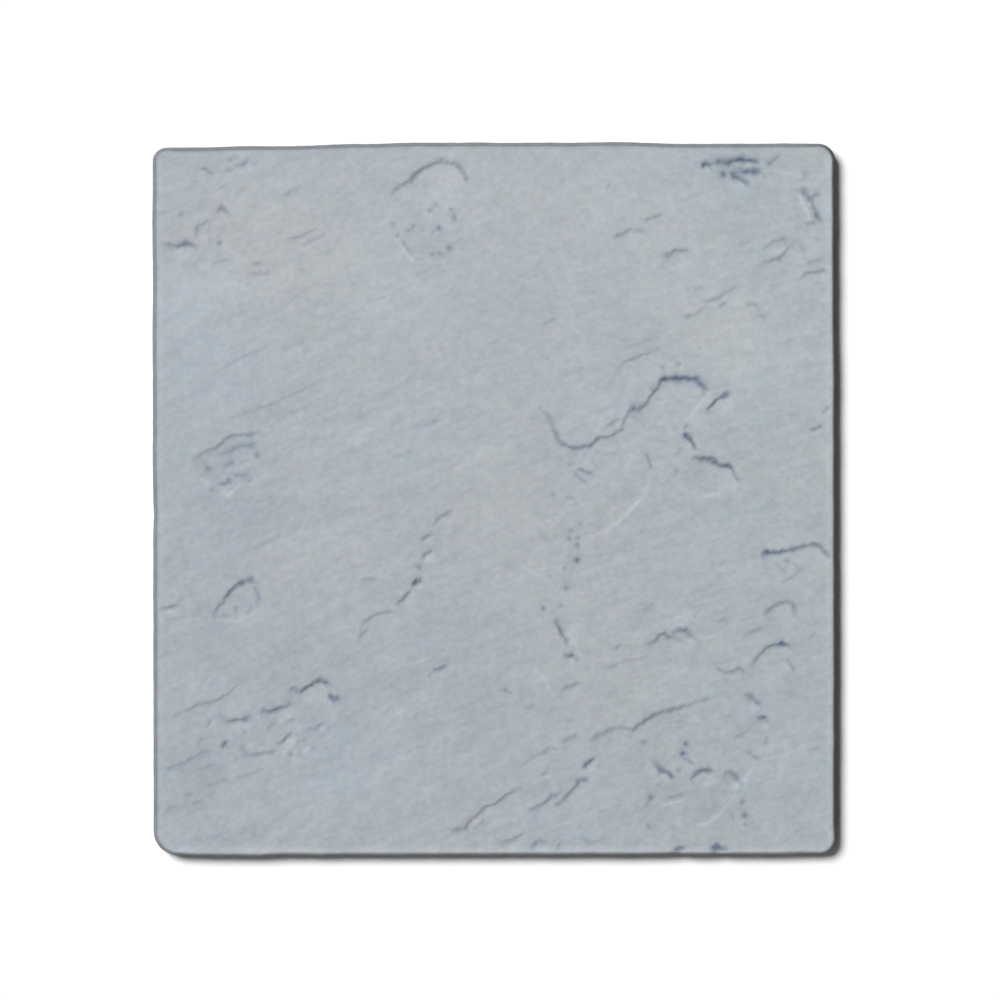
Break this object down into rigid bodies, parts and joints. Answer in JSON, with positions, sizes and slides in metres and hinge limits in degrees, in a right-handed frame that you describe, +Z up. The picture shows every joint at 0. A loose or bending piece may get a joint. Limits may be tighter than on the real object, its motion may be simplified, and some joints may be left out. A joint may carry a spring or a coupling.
{
  "type": "riven stone floor tile",
  "caption": "Flat, nearly square paving tile with a naturally split face of shallow flakes and steps, hand-dressed sides, rounded corners and a flat sawn back.",
  "frame": {"origin": "middle of the sawn back, where the tile meets the floor", "axes": "+Z up from the back to the riven face, +Y along the length, +X along the width"},
  "size_m": [0.45, 0.47, 0.012],
  "materials": {
    "stone": "riven, matt"
  },
  "bodies": {
    "root": {"tile": "stone"}
  },
  "joints": []
}
